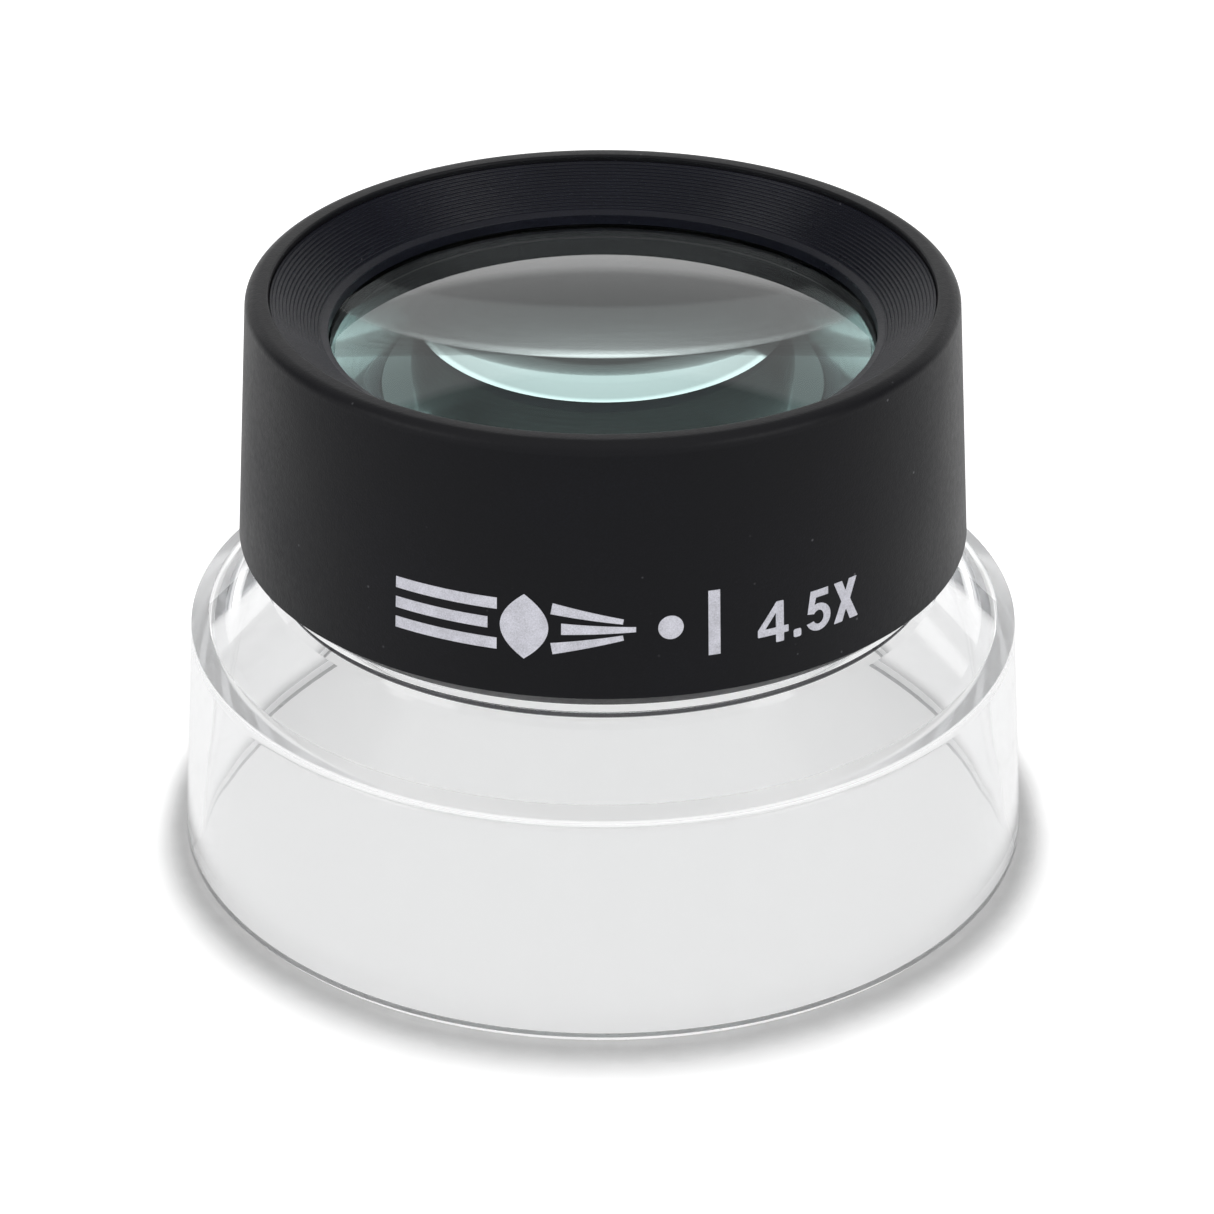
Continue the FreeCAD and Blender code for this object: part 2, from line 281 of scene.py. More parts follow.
class Nodes:
    """Small helper that adds nodes to one material and links them."""

    def __init__(self, name):
        self.material = bpy.data.materials.new(name)
        self.material.use_nodes = True
        self.tree = self.material.node_tree
        self.shader = self.tree.nodes["Principled BSDF"]
        self.output = self.tree.nodes["Material Output"]
        self.place = self.add("ShaderNodeTexCoord").outputs["Object"]

    def add(self, kind, inputs=(), **settings):
        """A node of this kind; inputs are (socket, value or output) pairs."""
        node = self.tree.nodes.new(kind)
        for key, value in settings.items():
            setattr(node, key, value)
        for socket, value in dict(inputs).items():
            if isinstance(value, bpy.types.NodeSocket):
                self.tree.links.new(value, node.inputs[socket])
            else:
                node.inputs[socket].default_value = value
        return node

    def noise(self, scale, detail=2.0, roughness=0.5):
        """Noise of about 1 / scale metres a blotch, from 0 to 1."""
        return self.add("ShaderNodeTexNoise", {
            "Vector": self.place, "Scale": scale, "Detail": detail,
            "Roughness": roughness}).outputs["Fac"]

    def stretch(self, value, low, high, new_low, new_high):
        """Value from low..high mapped to new_low..new_high and clamped."""
        return self.add("ShaderNodeMapRange", {
            "Value": value, "From Min": low, "From Max": high,
            "To Min": new_low, "To Max": new_high}).outputs["Result"]

    def above(self, value, edge, soft):
        """0 up to the edge, 1 from a soft step past it."""
        return self.stretch(value, edge, edge + soft, 0.0, 1.0)

    def below(self, value, edge, soft):
        """1 up to the edge, 0 from a soft step past it."""
        return self.stretch(value, edge, edge + soft, 1.0, 0.0)

    def math(self, operation, first, second):
        """One arithmetic step on two values or outputs."""
        return self.add("ShaderNodeMath", {0: first, 1: second}, operation=operation).outputs[0]

    def both(self, *masks):
        """Product of masks: 1 only where all of them are."""
        product = masks[0]
        for mask in masks[1:]:
            product = self.math("MULTIPLY", product, mask)
        return product

    def ramp(self, value, *stops):
        """Colours (position, rgb) along a value."""
        node = self.add("ShaderNodeValToRGB", {"Fac": value})
        elements = node.color_ramp.elements
        for number, (position, rgb) in enumerate(stops):
            element = elements[number] if number < 2 else elements.new(position)
            element.position = position
            element.color = (*rgb, 1)
        return node.outputs["Color"]

    def mix(self, share, first, second):
        """First colour with a share of the second; each is an output or an rgb."""
        node = self.add("ShaderNodeMix", {"Factor": share}, data_type="RGBA")
        for socket, value in ((node.inputs[6], first), (node.inputs[7], second)):
            if isinstance(value, bpy.types.NodeSocket):
                self.tree.links.new(value, socket)
            else:
                socket.default_value = (*value, 1)
        return node.outputs[2]

    def bump(self, height, distance, strength):
        """Bump of this height in metres."""
        return self.add("ShaderNodeBump", {
            "Height": height, "Distance": distance, "Strength": strength}).outputs["Normal"]

    def absorb(self, tint, density):
        """Colours the light that travels inside the piece."""
        node = self.add("ShaderNodeVolumeAbsorption", {"Color": (*tint, 1), "Density": density})
        self.tree.links.new(node.outputs[0], self.output.inputs["Volume"])

    def radius(self):
        """Distance from the optical axis, in metres."""
        apart = self.add("ShaderNodeSeparateXYZ", {0: self.place})
        flat = self.add("ShaderNodeCombineXYZ", {0: apart.outputs[0], 1: apart.outputs[1]})
        return self.add(
            "ShaderNodeVectorMath", {0: flat.outputs[0]}, operation="LENGTH").outputs["Value"]

    def height(self):
        """Height above the foot, in metres."""
        return self.add("ShaderNodeSeparateXYZ", {0: self.place}).outputs[2]

    def set(self, **values):
        """Sets shader sockets: a number stays on the socket, an output is linked."""
        for key, value in values.items():
            socket = self.shader.inputs[key.replace("_", " ")]
            if isinstance(value, bpy.types.NodeSocket):
                self.tree.links.new(value, socket)
            else:
                socket.default_value = value


def scaled(rgb, amount):
    """A colour made lighter or darker."""
    return tuple(min(1.0, channel * amount) for channel in rgb)


def clear_acrylic(tint, s):
    """Polished cast acrylic with faint moulding waves.

    The foot and its chamfer are ground matt, and the chamfer has a painted glow: it emits light by
    itself, standing in for light that the wall would guide to it. The bevel round the skirt is less
    clear, and the neck's groove has a painted shade line.
    """
    nodes = Nodes("clear_acrylic")
    foot = s.foot_chamfer
    waves = nodes.noise(45, 1.0)
    hairs = nodes.noise(900, 3.0, 0.7)
    high = nodes.height()
    wide = nodes.radius()
    chamfer = nodes.both(
        nodes.below(high, 0.9 * foot, 0.15 * foot),
        nodes.above(wide, s.foot_radius - 1.3 * foot, 0.3 * foot))
    underside = nodes.below(high, 0.01 * MM, 0.05 * MM)
    ground = nodes.math("MAXIMUM", chamfer, underside)
    bevelled = nodes.both(
        nodes.above(high, s.bevel_height - 1.3 * MM, 0.4 * MM),
        nodes.above(wide, s.bevel_radius - 0.1 * MM, 0.2 * MM))
    # groove masks the neck's groove, where a painted shade line is drawn: a dark colour with less
    # transmission stands in for the black hood seen there.
    groove = nodes.both(
        nodes.above(wide, s.neck_radius - 1.3 * MM, 0.1 * MM),
        nodes.below(wide, s.neck_radius - 0.5 * MM, 0.1 * MM),
        nodes.above(high, s.shoulder_height - 0.3 * MM, 0.1 * MM),
        nodes.below(high, s.shoulder_height + 0.5 * MM, 0.1 * MM))
    grit = nodes.stretch(hairs, 0.35, 0.65, 0.25, 0.45)
    rough = nodes.stretch(hairs, 0.55, 0.8, 0.0, 0.05)
    rough = nodes.math("ADD", rough, nodes.math("MULTIPLY", ground, grit))
    rough = nodes.math("ADD", rough, nodes.math("MULTIPLY", bevelled, 0.06))
    clear = nodes.stretch(ground, 0.0, 1.0, 1.0, 0.3)
    clear = nodes.math("SUBTRACT", clear, nodes.math("MULTIPLY", bevelled, 0.45))
    # Less transmission in the groove is part of the painted shade line.
    clear = nodes.math("SUBTRACT", clear, nodes.math("MULTIPLY", groove, 0.6))
    nodes.set(
        # The dark colour in the groove is the painted shade line.
        Base_Color=nodes.mix(groove, (1, 1, 1), (0.05, 0.05, 0.055)), Roughness=rough, IOR=1.49,
        Transmission_Weight=clear, Normal=nodes.bump(waves, 0.4 * MM, 0.35),
        # Emission on the chamfer is a painted glow; the chamfer is no lamp.
        Emission_Color=(1, 1, 1, 1), Emission_Strength=nodes.stretch(chamfer, 0.0, 1.0, 0.0, 0.28))
    nodes.absorb(tint, 9.0)
    return nodes.material


def lens_glass(tint):
    """Optical glass: green-blue in its depth, its polish almost perfect, a trace of haze."""
    nodes = Nodes("lens_glass")
    haze = nodes.noise(90, 2.0)
    rough = nodes.stretch(haze, 0.5, 0.8, 0.0, 0.012)
    nodes.set(Base_Color=(1, 1, 1, 1), Roughness=rough, IOR=1.52, Transmission_Weight=1.0)
    nodes.absorb(tint, 17.0)
    return nodes.material


def hood_plastic(name, black, rim, gloss=0.0, lift=1.0):
    """Satin moulded black: spark-eroded grain, faint clouding, pale specks and a worn rim.

    rim is the height that hands have polished; gloss and lift make the finish shinier and paler.
    """
    nodes = Nodes(name)
    cloud = nodes.noise(60, 3.0)
    fine = nodes.noise(5200, 2.0, 0.6)
    coarse = nodes.noise(1500, 2.0, 0.5)
    dots = nodes.add("ShaderNodeTexVoronoi", {"Vector": nodes.place, "Scale": 700.0})
    speck = nodes.both(
        nodes.below(dots.outputs["Distance"], 0.04, 0.08),
        nodes.above(dots.outputs["Color"], 0.80, 0.10))
    worn = nodes.above(nodes.height(), rim - 1.3 * MM, 1.0 * MM)
    shade = nodes.math(
        "ADD", nodes.math("MULTIPLY", cloud, 0.5), nodes.math("MULTIPLY", fine, 0.5))
    body = nodes.ramp(
        shade, (0.30, scaled(black, 0.7 * lift)), (0.52, scaled(black, lift)),
        (0.72, scaled(black, 1.9 * lift)))
    edge = nodes.mix(worn, body, (0.011, 0.011, 0.013))
    specked = nodes.mix(speck, edge, (0.11, 0.11, 0.12))
    rough = nodes.stretch(
        nodes.math("ADD", cloud, nodes.math("MULTIPLY", coarse, 0.6)),
        0.5, 1.1, 0.34 - gloss, 0.48 - gloss)
    rough = nodes.math("SUBTRACT", rough, nodes.math("MULTIPLY", worn, 0.05))
    grains = nodes.math("ADD", fine, nodes.math("MULTIPLY", coarse, 0.5))
    nodes.set(
        Base_Color=specked, Roughness=rough, Specular_IOR_Level=0.16 + gloss,
        Normal=nodes.bump(grains, 0.03 * MM, 0.7))
    return nodes.material


def inner_plastic(black):
    """Dull anti-reflection black with fine turning marks round the axis."""
    nodes = Nodes("dull_black")
    rings = nodes.add("ShaderNodeTexWave", {
        "Vector": nodes.place, "Scale": 350.0, "Distortion": 0.6, "Detail": 1.0},
        wave_type="BANDS", bands_direction="Z").outputs["Fac"]
    matt = nodes.noise(3000, 2.0)
    nodes.set(
        Base_Color=nodes.ramp(matt, (0.3, scaled(black, 0.7)), (0.7, scaled(black, 1.6))),
        Roughness=nodes.stretch(matt, 0.3, 0.7, 0.55, 0.75), Specular_IOR_Level=0.2,
        Normal=nodes.bump(rings, 0.05 * MM, 0.6))
    return nodes.material


def silver_ink(silver):
    """Pad-printed silver: fine metal flake and a slightly uneven cover."""
    nodes = Nodes("silver_print")
    flake = nodes.noise(7000, 2.0, 0.7)
    cover = nodes.noise(700, 3.0)
    shade = nodes.math(
        "ADD", nodes.math("MULTIPLY", flake, 0.6), nodes.math("MULTIPLY", cover, 0.4))
    nodes.set(
        Base_Color=nodes.ramp(
            shade, (0.32, scaled(silver, 0.72)), (0.5, silver), (0.68, scaled(silver, 1.25))),
        Roughness=nodes.stretch(cover, 0.3, 0.7, 0.38, 0.55), Metallic=0.25,
        Normal=nodes.bump(flake, 0.01 * MM, 0.5))
    return nodes.material


# ---- operators, one for each piece or group ----------------------------------------------------

def top_of(node):
    """Height of a CAD node's highest point."""
    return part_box(node)[1].z


def bottom_of(node):
    """Height of a CAD node's lowest point."""
    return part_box(node)[0].z


def settings():
    """All the loupe's settings in this scene."""
    return bpy.context.scene.loupe


class LOUPE_OT_clear_stand(Operator):
    """Clear skirt with its bevel, sloping shoulder and threaded neck"""
    bl_idname = "loupe.clear_stand"
    bl_label = "Clear stand"

    def execute(self, context):
        s = settings().stand
        neck_top = top_of("clear_stand")
        root = s.neck_radius - s.thread_depth
        slope = (s.shoulder_height - s.bevel_height) / (s.bevel_radius - s.neck_radius)
        inner_radius = s.skirt_top_radius - s.wall
        above = s.bevel_height + (s.bevel_radius - inner_radius) * slope
        inner_top = above - s.wall * math.hypot(1, slope)
        inner_neck_foot = inner_top + (inner_radius - s.neck_inner_radius) * slope
        taper = s.foot_chamfer * (s.foot_radius - s.skirt_top_radius) / s.skirt_top_height
        thread_foot = s.land_top + s.thread_depth / 2
        thread_head = neck_top - s.neck_chamfer
        rows = np.arange(thread_foot, thread_head, s.thread_pitch / ROWS_A_TURN)
        groove_foot = s.shoulder_height + s.relief_rise
        line_foot = s.shoulder_height + s.line_rise
        line_middle = line_foot + 0.17 * MM
        lip = s.relief / 2
        outline = rounded_outline([
            (s.foot_radius - s.foot_chamfer, 0, s.edge_round),
            (s.foot_radius - taper, s.foot_chamfer, s.edge_round),
            (s.skirt_top_radius, s.skirt_top_height, s.edge_round),
            (s.bevel_radius, s.bevel_height, s.edge_round),
            (s.neck_radius + lip, s.shoulder_height - lip * slope, 0.05 * MM),
            (s.neck_radius - s.relief, groove_foot, 0.06 * MM),
            (s.neck_radius, groove_foot + s.relief * 0.9, 0.05 * MM),
            (s.neck_radius, line_foot, 0.03 * MM),
            (s.neck_radius - s.line_depth, line_middle, 0.05 * MM),
            (s.neck_radius, line_foot + s.line_width, 0.03 * MM),
            (s.neck_radius, s.land_top),
            *[(root, row) for row in rows],
            (root - s.neck_chamfer, neck_top),
            (s.neck_inner_radius, neck_top, s.edge_round),
            (s.neck_inner_radius, inner_neck_foot, s.inner_round),
            (inner_radius, inner_top, s.inner_round),
            (s.foot_radius - s.wall, 0, s.edge_round),
        ])

        def thread(angle, radius, height):
            """Two-start thread: crest where (z / pitch - 2 a / turn) is near a whole number."""
            phase = height / s.thread_pitch - angle / math.pi
            ridge = np.clip(0.5 + 0.9 * np.cos(2 * math.pi * phase), 0, 1)
            fade = np.clip((height - thread_foot) / s.thread_runout, 0, 1)
            fade = fade * np.clip((thread_head - height) / s.thread_runout, 0, 1)
            on_thread = np.isclose(radius, root) & (height > s.land_top)
            return radius + np.where(on_thread, s.thread_depth * ridge * fade, 0)

        piece = lathe("clear_stand_moulding", outline, thread)
        acrylic = clear_acrylic(settings().finish.acrylic, s)
        finish_piece(piece, "stand", acrylic, "clear_stand")
        return {"FINISHED"}


class LOUPE_OT_hood(Operator):
    """Black tapered housing with a rounded rim and a bottom chamfer"""
    bl_idname = "loupe.hood"
    bl_label = "Hood"

    def execute(self, context):
        s = settings().hood
        rim = top_of("hood")
        bottom = bottom_of("hood")
        seat = bottom_of("front_baffle") - s.seat_gap
        rim_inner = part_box("front_baffle")[1].x + s.seat_gap
        ledge = s.bore_radius - s.ledge_width
        outline = rounded_outline([
            (s.bore_radius, bottom),
            (s.bottom_radius, bottom, 0.1 * MM),
            (s.foot_radius, s.foot_height, s.edge_round),
            (s.rim_radius, rim, s.rim_round),
            (rim_inner, rim, s.rim_inner_round),
            (rim_inner, seat),
            (ledge, seat),
            (ledge, s.ledge_bottom),
            (s.bore_radius, s.ledge_bottom),
        ])
        piece = lathe("hood_shell", outline)
        black = hood_plastic("hood_black", settings().finish.hood_black, rim)
        finish_piece(piece, "hood", black, "hood")
        return {"FINISHED"}


class LOUPE_OT_front_baffle(Operator):
    """Ring with a grooved cone round the lens"""
    bl_idname = "loupe.front_baffle"
    bl_label = "Front baffle"

    def execute(self, context):
        s = settings().hood
        low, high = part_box("front_baffle")
        outer = high.x
        run = s.cone_top_radius - s.cone_bottom_radius
        drop = high.z - s.cone_bottom_height
        slant = math.hypot(run, drop)
        along = np.linspace(0, 1, s.grooves * 8, endpoint=False)
        depth = s.groove_depth * (0.5 - 0.5 * np.cos(2 * math.pi * s.grooves * along)) ** 0.8
        cone = zip(s.cone_top_radius - run * along + depth * drop / slant,
                   high.z - drop * along - depth * run / slant)
        outline = rounded_outline([
            (s.lip_radius, low.z),
            (outer, low.z),
            (outer, high.z, 0.1 * MM),
            *cone,
            (s.cone_bottom_radius, s.cone_bottom_height, 0.1 * MM),
            (s.lip_radius, s.lip_height, 0.15 * MM),
        ])
        piece = lathe("front_baffle_ring", outline)
        never_worn = 2 * high.z
        black = hood_plastic(
            "baffle_black", settings().finish.hood_black, never_worn, gloss=0.08, lift=4.0)
        finish_piece(piece, "hood", black, "front_baffle")
        return {"FINISHED"}


class LOUPE_OT_lenses(Operator):
    """Biconvex upper lens and plano-convex lower lens"""
    bl_idname = "loupe.lenses"
    bl_label = "Lenses"

    def lens(self, node, front_curve, back_curve, bevel):
        """A turned lens: z = pole -/+ (curve - sqrt(curve^2 - r^2)); a flat face has no curve."""
        low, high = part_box(node)
        rim = high.x
        radii = np.linspace(0, rim - bevel, 40)

        def sagitta(curve):
            return curve - np.sqrt(curve**2 - radii**2) if curve else radii * 0

        lower = np.stack([radii, low.z + sagitta(back_curve)], axis=1)
        upper = np.stack([radii, high.z - sagitta(front_curve)], axis=1)[::-1]
        ends = np.array([(rim, lower[-1, 1] + bevel), (rim, upper[0, 1] - bevel)])
        return lathe(node + "_glass", np.concatenate([lower, ends, upper]))

    def execute(self, context):
        s = settings().lens
        glass = lens_glass(settings().finish.glass)
        upper = self.lens("upper_lens", s.upper_front_curve, s.upper_back_curve, s.rim_bevel)
        lower = self.lens("lower_lens", s.lower_front_curve, None, s.rim_bevel)
        finish_piece(upper, "cell", glass, "upper_lens")
        finish_piece(lower, "cell", glass, "lower_lens")
        return {"FINISHED"}


class LOUPE_OT_inner_parts(Operator):
    """Dull black finish of the lens cell, the spacer and the retaining ring"""
    bl_idname = "loupe.inner_parts"
    bl_label = "Inner parts"

    def execute(self, context):
        black = inner_plastic(settings().finish.inner_black)
        for node in ("lens_cell", "lens_spacer", "retaining_ring"):
            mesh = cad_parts[node].data
            mesh.materials.clear()
            mesh.materials.append(black)
        return {"FINISHED"}


def flat_shape(name, outlines):
    """Mesh object of filled flat outlines, each an array of (x, y) points in metres."""
    curve = bpy.data.curves.new(name, "CURVE")
    curve.dimensions = "2D"
    curve.fill_mode = "BOTH"
    for outline in outlines:
        spline = curve.splines.new("POLY")
        spline.points.add(len(outline) - 1)
        points = np.zeros((len(outline), 4))
        points[:, :2] = outline
        points[:, 3] = 1
        spline.points.foreach_set("co", points.ravel())
        spline.use_cyclic_u = True
    source = bpy.data.objects.new(name + "_source", curve)
    bpy.context.scene.collection.objects.link(source)
    evaluated = source.evaluated_get(bpy.context.evaluated_depsgraph_get())
    mesh = bpy.data.meshes.new_from_object(evaluated)
    bpy.data.objects.remove(source)
    mesh.name = name
    piece = bpy.data.objects.new(name, mesh)
    bpy.context.scene.collection.objects.link(piece)
    return piece


def wrap_on_hood(piece, middle, level, ink):
    """Lays a flat shape on the hood's wall and gives it thickness.

    x runs round the wall from the angle middle, y runs up it from level:
    a = middle + x / (radius at level), point = (r sin a, -r cos a, level + y), with r the wall's
    radius at that height. The shape is cut into narrow strips first, so that it bends.
    """
    s = settings().hood
    rim = top_of("hood")
    mesh = piece.data
    half = vectors(mesh.vertices, "co")[:, 0].max()
    work = bmesh.new()
    work.from_mesh(mesh)
    for cut in np.arange(-half, half, STRIP):
        everything = work.verts[:] + work.edges[:] + work.faces[:]
        bmesh.ops.bisect_plane(work, geom=everything, plane_co=(cut, 0, 0), plane_no=(1, 0, 0))
    bmesh.ops.remove_doubles(work, verts=work.verts, dist=1e-6)
    work.to_mesh(mesh)
    work.free()
    x, y, _ = vectors(mesh.vertices, "co").T
    height = level + y
    taper = (s.foot_radius - s.rim_radius) / (rim - s.foot_height)
    radius = s.rim_radius + (rim - height) * taper + PRINT_GAP
    angle = middle + x / (s.rim_radius + (rim - level) * taper)
    wrapped = np.stack([radius * np.sin(angle), -radius * np.cos(angle), height], axis=1)
    mesh.vertices.foreach_set("co", wrapped.ravel())
    mesh.update()
    if (vectors(mesh.polygons, "normal") * vectors(mesh.polygons, "center")).sum() < 0:
        mesh.flip_normals()
    solid = piece.modifiers.new("ink", "SOLIDIFY")
    solid.thickness = ink
    solid.offset = 1.0


def bar(start, end, start_width, end_width):
    """Outline of a straight tapered stroke."""
    start = np.array(start, float)
    end = np.array(end, float)
    along = (end - start) / np.hypot(*(end - start))
    across = np.array([-along[1], along[0]]) / 2
    return np.array([start + across * start_width, start - across * start_width,
                     end - across * end_width, end + across * end_width])


def disc(centre, radius, steps=40):
    """Outline of a circle."""
    angle = np.linspace(0, 2 * math.pi, steps, endpoint=False)
    return np.array(centre) + radius * np.stack([np.cos(angle), np.sin(angle)], axis=1)


def lens_sign(width, height, steps=24):
    """Outline of a biconvex lens seen from the side: two equal arcs that meet at the ends."""
    side = np.linspace(-1, 1, steps, endpoint=False)
    bulge = (1 - side**2) * width / 2
    right = np.stack([bulge, side * height / 2], axis=1)
    return np.concatenate([right, -right])


def arc(centre, radii, start, end, steps=20):
    """Points of part of an ellipse, from one angle in degrees to another."""
    angle = np.radians(np.linspace(start, end, steps))
    return np.array(centre) + np.array(radii) * np.stack([np.cos(angle), np.sin(angle)], axis=1)


def bold_figures():
    """Bold outlines of 4.5X, one unit high from y = 0 and starting at x = 0, and their width."""
    four = rounded_outline([(*corner, 0.02) for corner in (
        (0.46, 0), (0.66, 0), (0.66, 0.20), (0.78, 0.20), (0.78, 0.37), (0.66, 0.37), (0.66, 1.0),
        (0.48, 1.0), (0.01, 0.37), (0.01, 0.20), (0.46, 0.20))])
    four_hole = np.array([(0.46, 0.37), (0.19, 0.37), (0.46, 0.73)])
    dot = rounded_outline([(*corner, 0.05) for corner in ((0, 0), (0.2, 0), (0.2, 0.2), (0, 0.2))])
    bowl = (0.36, 0.33)
    five = np.concatenate([
        [(0.64, 1.0), (0.64, 0.82), (0.30, 0.82)],
        arc(bowl, (0.34, 0.335), 108, -160),
        arc(bowl, (0.145, 0.17), -152, 145),
        [(0.065, 0.46), (0.155, 1.0)]])
    cross = rounded_outline([(*corner, 0.015) for corner in (
        (0, 0), (0.245, 0), (0.36, 0.29), (0.475, 0), (0.72, 0), (0.49, 0.505), (0.70, 1.0),
        (0.465, 1.0), (0.36, 0.73), (0.255, 1.0), (0.02, 1.0), (0.23, 0.505))])
    return [four, four_hole, dot + (0.91, 0), five + (1.22, 0), cross + (2.01, 0)], 2.73


class LOUPE_OT_print(Operator):
    """Silver print on the hood: a ray diagram and the magnification"""
    bl_idname = "loupe.print"
    bl_label = "Silver print"

    def diagram(self, s):
        """Parallel rays, a lens, rays that meet at a focus, and the plane of the page."""
        half = s.diagram_width / 2
        high = s.diagram_height / 2
        stroke = s.stroke
        lens = -0.17 * half
        focus = np.array([0.70 * half, 0])
        page = half - stroke / 2
        shapes = [lens_sign(s.lens_width, s.diagram_height) + (lens, 0)]
        for level in (-0.62 * high, 0, 0.62 * high):
            clear = (2.6 if level else 3.5) * MM
            bend = np.array([lens + clear, level])
            stop = bend + (focus - bend) * (0.60 if level else 0.68)
            shapes.append(bar((-half, level), (lens - clear, level), stroke, stroke))
            shapes.append(bar(bend, stop, stroke, stroke * 0.45))
        shapes.append(disc(focus, s.focus_radius))
        shapes.append(bar((page, -high), (page, high), stroke, stroke))
        return shapes

    def execute(self, context):
        s = settings().print
        ink = silver_ink(settings().finish.silver)
        diagram = flat_shape("print_diagram", self.diagram(s))
        wrap_on_hood(diagram, s.diagram_middle, s.diagram_level, s.ink)
        finish_piece(diagram, "hood", ink)
        figures, width = bold_figures()
        figures = [(figure - (width / 2, 0.5)) * s.number_height for figure in figures]
        number = flat_shape("print_number", figures)
        wrap_on_hood(number, s.number_middle, s.number_level, s.ink)
        finish_piece(number, "hood", ink)
        return {"FINISHED"}


def floor_material(glow, lift, foot_radius):
    """White sweep that gives part of its light by itself and darkens round the foot.

    The shadow reaches further in front of the foot than at its sides, and stops under its edge.
    """
    nodes = Nodes("floor_white")
    across = nodes.add("ShaderNodeSeparateXYZ", {0: nodes.place}).outputs[1]
    reach = nodes.stretch(across, -foot_radius - 2.4 * MM, 0.0, 9.5 * MM, 4.2 * MM)
    near = nodes.add("ShaderNodeAmbientOcclusion", {"Distance": reach}, samples=16).outputs["AO"]
    outside = nodes.above(nodes.radius(), foot_radius - 1.0 * MM, 0.2 * MM)
    open_sky = nodes.add("ShaderNodeMix", {"Factor": outside, "A": 1.0, "B": near})
    lit = nodes.ramp(
        open_sky.outputs["Result"], (0.58, (0.04, 0.04, 0.04)), (0.68, (0.22, 0.22, 0.22)),
        (0.80, (0.53, 0.53, 0.53)), (0.91, (0.82, 0.82, 0.82)), (1.0, (1, 1, 1)))
    grain = nodes.noise(400, 2.0)
    seen = nodes.add("ShaderNodeLightPath").outputs["Is Camera Ray"]
    nodes.set(
        Base_Color=nodes.ramp(grain, (0.3, (0.58, 0.58, 0.58)), (0.7, (0.62, 0.62, 0.62))),
        Roughness=0.7, Specular_IOR_Level=0.1, Emission_Color=lit,
        Emission_Strength=nodes.stretch(seen, 0.0, 1.0, glow, glow + lift))
    return nodes.material


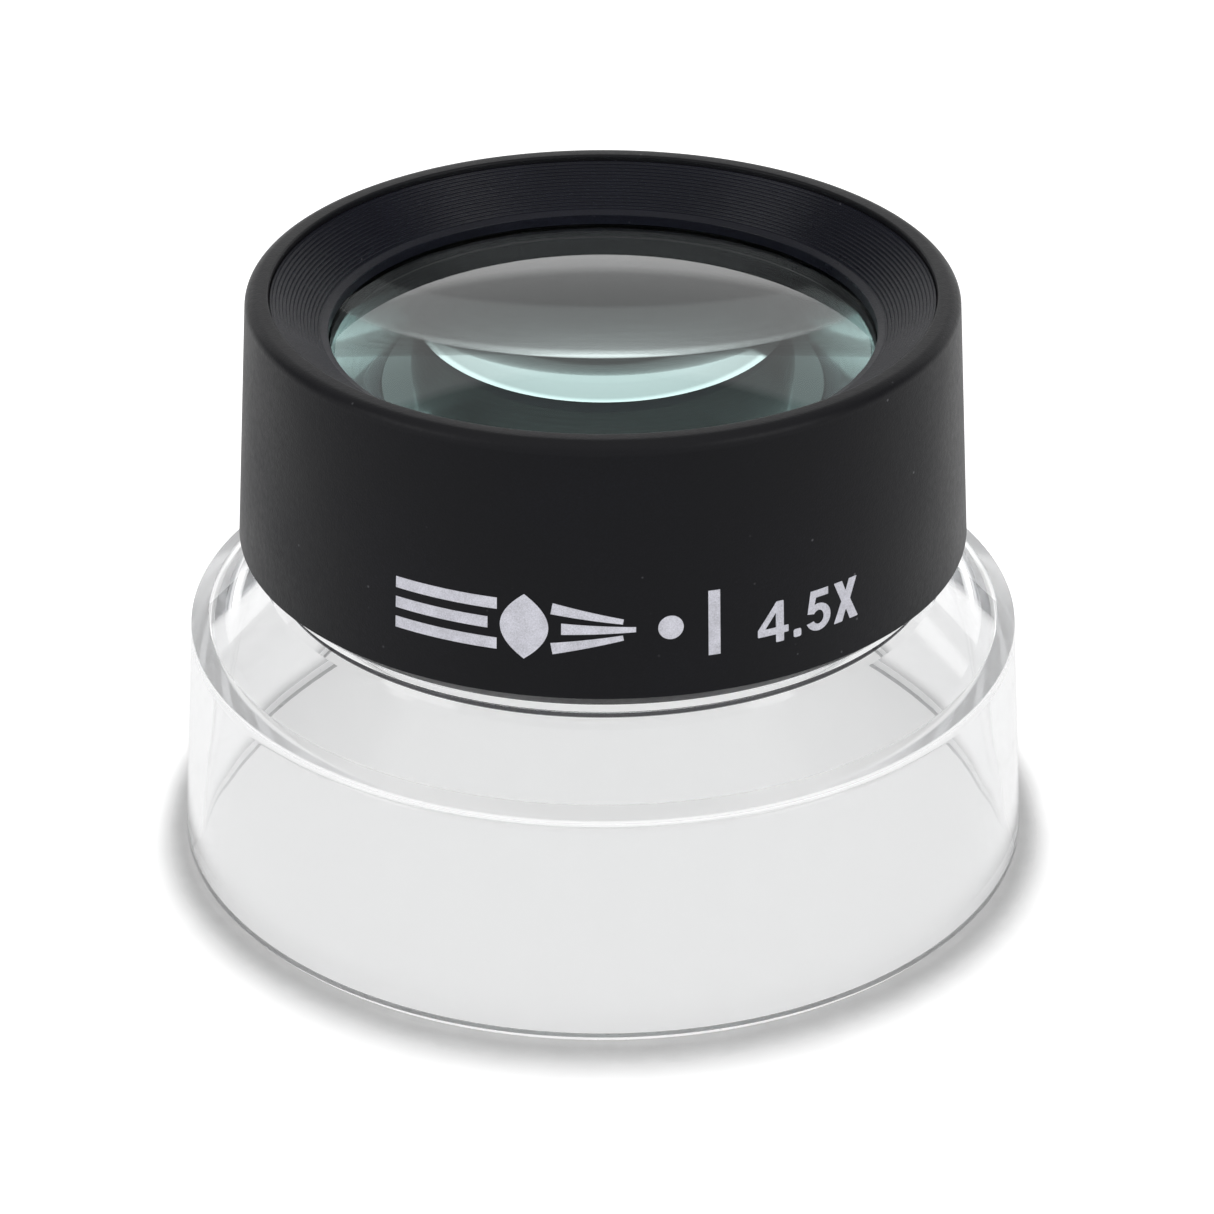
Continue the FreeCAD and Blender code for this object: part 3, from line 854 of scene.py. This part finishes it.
class LOUPE_OT_stage(Operator):
    """Plain pale floor, soft studio light and the camera"""
    bl_idname = "loupe.stage"
    bl_label = "Stage"

    def make_floor(self, s):
        """Square floor just under the foot."""
        size = s.floor_size
        corners = np.array([(-size, -size, 0), (size, -size, 0), (size, size, 0), (-size, size, 0)])
        mesh = bpy.data.meshes.new("floor")
        mesh.from_pydata(corners, [], [(0, 1, 2, 3)])
        mesh.materials.append(
            floor_material(s.floor_glow, s.floor_lift, settings().stand.foot_radius))
        floor = bpy.data.objects.new("floor", mesh)
        bpy.context.scene.collection.objects.link(floor)
        floor.location.z = -s.floor_gap

    def make_world(self, s):
        """Soft tent: bright on the camera's side, a dark flag at each side, a panel behind."""
        world = bpy.data.worlds.new("studio")
        bpy.context.scene.world = world
        world.use_nodes = True
        tree = world.node_tree

        def add(kind, *links, **values):
            node = tree.nodes.new(kind)
            for key, value in values.items():
                node.inputs[key.replace("_", " ")].default_value = value
            for output, socket in links:
                tree.links.new(output, node.inputs[socket])
            return node

        def levels(*stops):
            """Brightness by elevation in degrees, straight between the stops."""
            node = add("ShaderNodeFloatCurve", (apart.outputs[2], "Value"))
            curve = node.mapping.curves[0]
            node.mapping.use_clip = False
            places = [(math.sin(math.radians(angle)), value) for angle, value in stops]
            curve.points[0].location = places[0]
            curve.points[1].location = places[-1]
            for place in places[1:-1]:
                curve.points.new(*place)
            for point in curve.points:
                point.handle_type = "VECTOR"
            node.mapping.update()
            return node.outputs[0]

        def past(angle, soft):
            """0 to 1 where the direction is turned further than this angle from the camera."""
            node = add("ShaderNodeMapRange", (turned.outputs[0], "Value"),
                       From_Min=math.radians(angle), From_Max=math.radians(angle + soft))
            return node.outputs["Result"]

        def blend(first, second, share):
            node = add("ShaderNodeMix", (share, "Factor"), (first, "A"), (second, "B"))
            return node.outputs["Result"]

        place = add("ShaderNodeMapping", (add("ShaderNodeTexCoord").outputs["Generated"], "Vector"))
        place.inputs["Rotation"].default_value[2] = s.tent_turn
        apart = add("ShaderNodeSeparateXYZ", (place.outputs[0], 0))
        aside = add("ShaderNodeMath", (apart.outputs[0], 0))
        aside.operation = "ABSOLUTE"
        ahead = add("ShaderNodeMath", (apart.outputs[1], 0))
        ahead.operation = "MULTIPLY"
        ahead.inputs[1].default_value = -1
        turned = add("ShaderNodeMath", (aside.outputs[0], 0), (ahead.outputs[0], 1))
        turned.operation = "ARCTAN2"
        front = levels((0, s.tent), (65, s.tent), (72, s.overhead), (90, s.overhead))
        key = levels((0, s.tent), (12, s.tent), (14, s.key), (32, s.key), (34, s.tent),
                     (90, s.overhead))
        flag = levels((0, 0.5), (6, 0.45), (8, 0.14), (36, 0.14), (44, 0.4), (60, 0.6),
                      (90, s.overhead))
        panel = levels((0, 0.3), (5, 0.35), (7, 1.8 * s.behind), (13, 1.8 * s.behind),
                       (16, s.behind), (39, s.behind), (41, 0.25), (50, 0.30), (60, 0.6),
                       (90, s.overhead))
        light = blend(front, key, past(42, 6))
        light = blend(blend(light, flag, past(74, 3)), panel, past(128, 2))
        background = tree.nodes["Background"]
        background.inputs["Color"].default_value = (1, 1, 1, 1)
        tree.links.new(light, background.inputs["Strength"])

    def make_camera(self, s):
        """Camera in front that looks down at the aim point."""
        camera = bpy.data.objects.new("camera", bpy.data.cameras.new("camera"))
        bpy.context.scene.collection.objects.link(camera)
        camera.data.lens = s.focal_length
        camera.data.sensor_width = 36
        camera.data.clip_start = 0.01
        camera.data.clip_end = 20
        aim = Vector((s.aim_side, 0, s.aim_height))
        back = Vector((0, -math.cos(s.camera_height), math.sin(s.camera_height)))
        camera.location = aim + back * s.camera_distance
        camera.rotation_euler = (-back).to_track_quat("-Z", "Y").to_euler()
        bpy.context.scene.camera = camera

    def execute(self, context):
        s = settings().stage
        self.make_floor(s)
        self.make_world(s)
        self.make_camera(s)
        context.scene.view_settings.view_transform = "Standard"
        context.scene.cycles.max_bounces = 24
        context.scene.cycles.transmission_bounces = 20
        context.scene.cycles.glossy_bounces = 12
        return {"FINISHED"}


# ---- sidebar, registration and the build -------------------------------------------------------

class LoupeSettings(PropertyGroup):
    """All settings of the loupe."""
    stand: PointerProperty(type=StandSizes, name="Stand", description="Clear stand")
    hood: PointerProperty(type=HoodSizes, name="Hood", description="Hood and baffle")
    lens: PointerProperty(type=LensSizes, name="Lenses", description="Lenses")
    print: PointerProperty(type=PrintSizes, name="Print", description="Silver print")
    finish: PointerProperty(type=Finishes, name="Finishes", description="Colours")
    stage: PointerProperty(type=StageSettings, name="Stage", description="Stage")


GROUPS = (StandSizes, HoodSizes, LensSizes, PrintSizes, Finishes, StageSettings, LoupeSettings)
OPERATORS = (
    LOUPE_OT_clear_stand,
    LOUPE_OT_hood,
    LOUPE_OT_front_baffle,
    LOUPE_OT_lenses,
    LOUPE_OT_inner_parts,
    LOUPE_OT_print,
    LOUPE_OT_stage,
)


class LOUPE_PT_sidebar(Panel):
    """Lists the loupe's operators and settings"""
    bl_idname = "LOUPE_PT_sidebar"
    bl_label = "Stand loupe"
    bl_space_type = "VIEW_3D"
    bl_region_type = "UI"
    bl_category = "Loupe"

    def draw(self, context):
        for operator in OPERATORS:
            self.layout.operator(operator.bl_idname)
        for name in LoupeSettings.__annotations__:
            group = getattr(context.scene.loupe, name)
            box = self.layout.box()
            box.label(text=name.capitalize())
            for key in group.__annotations__:
                box.prop(group, key)


def register():
    for item in (*GROUPS, *OPERATORS, LOUPE_PT_sidebar):
        bpy.utils.register_class(item)
    bpy.types.Scene.loupe = PointerProperty(type=LoupeSettings)


def unregister():
    del bpy.types.Scene.loupe
    for item in reversed((*GROUPS, *OPERATORS, LOUPE_PT_sidebar)):
        bpy.utils.unregister_class(item)


def main():
    register()
    for operator in OPERATORS:
        family, name = operator.bl_idname.split(".")
        getattr(getattr(bpy.ops, family), name)()


if __name__ == "__main__":
    main()
